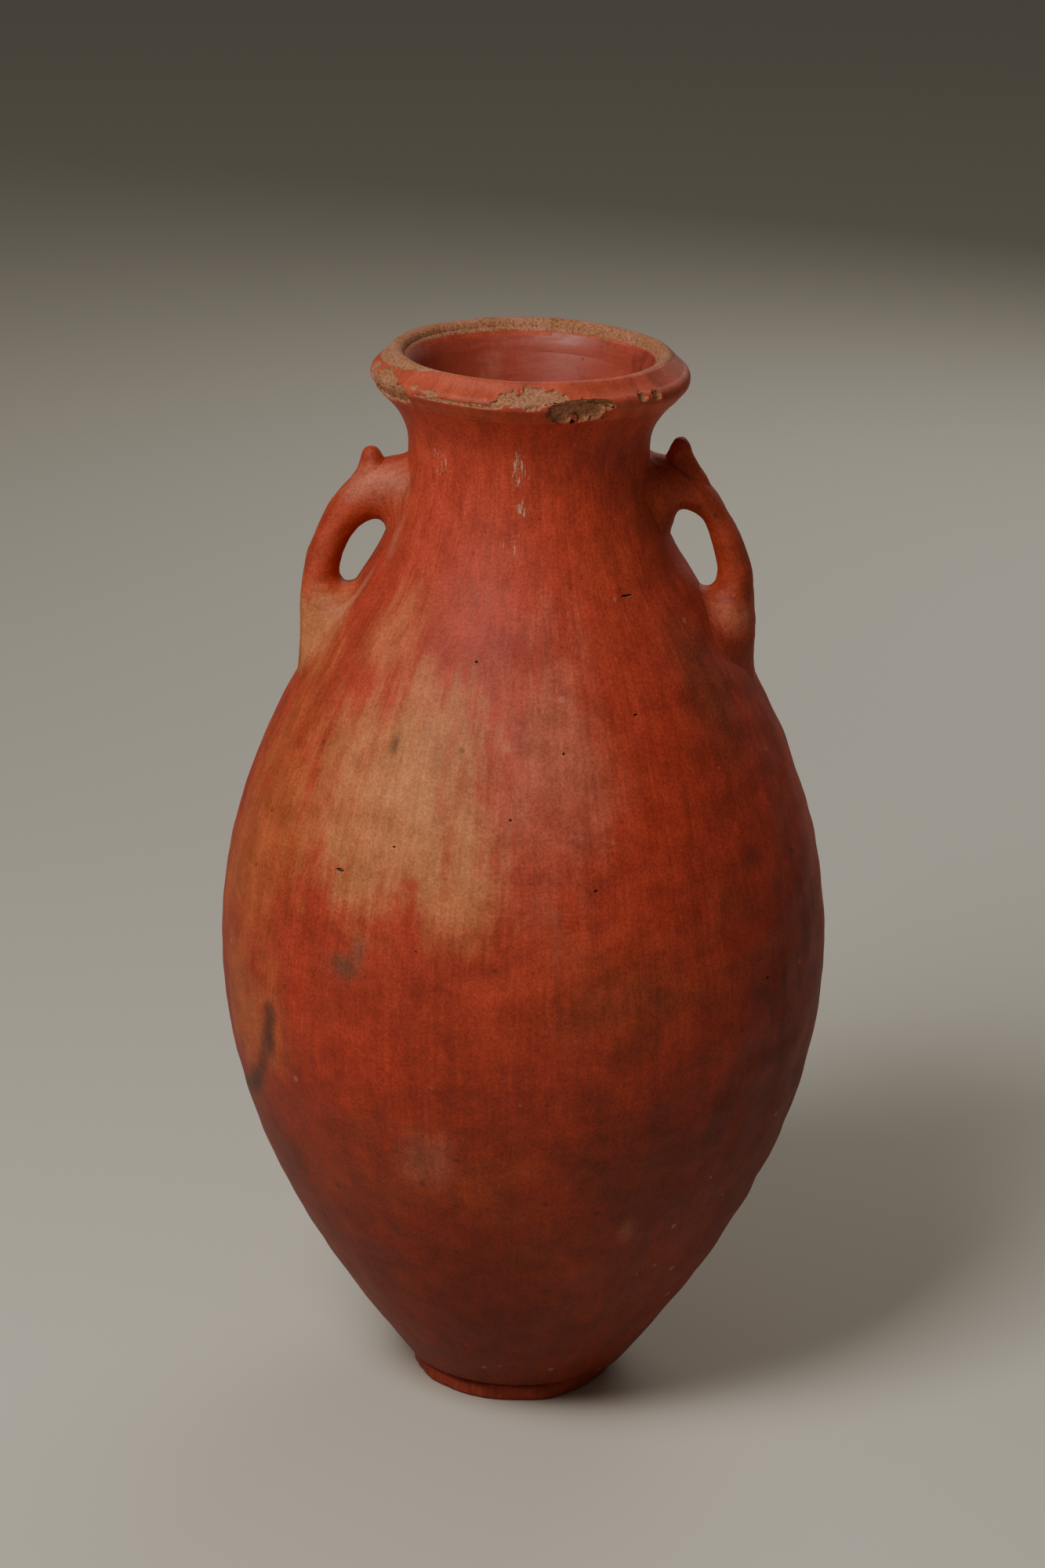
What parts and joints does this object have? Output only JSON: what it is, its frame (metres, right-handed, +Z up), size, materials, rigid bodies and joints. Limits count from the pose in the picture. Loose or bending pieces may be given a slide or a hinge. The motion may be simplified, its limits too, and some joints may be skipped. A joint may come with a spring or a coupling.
{
  "type": "two-handled storage jar",
  "caption": "Tall egg-shaped earthenware jar with a waisted neck, a heavy outturned lip, loop handles with small thumb knobs and a low foot ring.",
  "frame": {"origin": "centre of the foot ring's resting face", "axes": "+Z up along the jar's axis to the mouth; the handles stand along X, the left one towards -X; -Y is the front"},
  "size_m": [0.293, 0.293, 0.52],
  "materials": {
    "foot_clay": "matt fired clay, rubbed at the edge",
    "body_slip": "burnished red slip with orange patches and dark fire marks",
    "neck_slip": "burnished red slip, streaked, with pale flaked spots",
    "rim_slip": "red slip worn to pale clay, with rough chips",
    "handle_slip": "wiped orange-red slip, satin"
  },
  "bodies": {
    "root": {"foot_ring": "foot_clay", "base_disc": "body_slip", "lower_wall": "body_slip", "belly_wall": "body_slip", "shoulder_wall": "body_slip", "neck": "neck_slip", "rim": "rim_slip", "left_handle": "handle_slip", "right_handle": "handle_slip", "left_thumb_knob": "handle_slip", "right_thumb_knob": "handle_slip"}
  },
  "joints": []
}
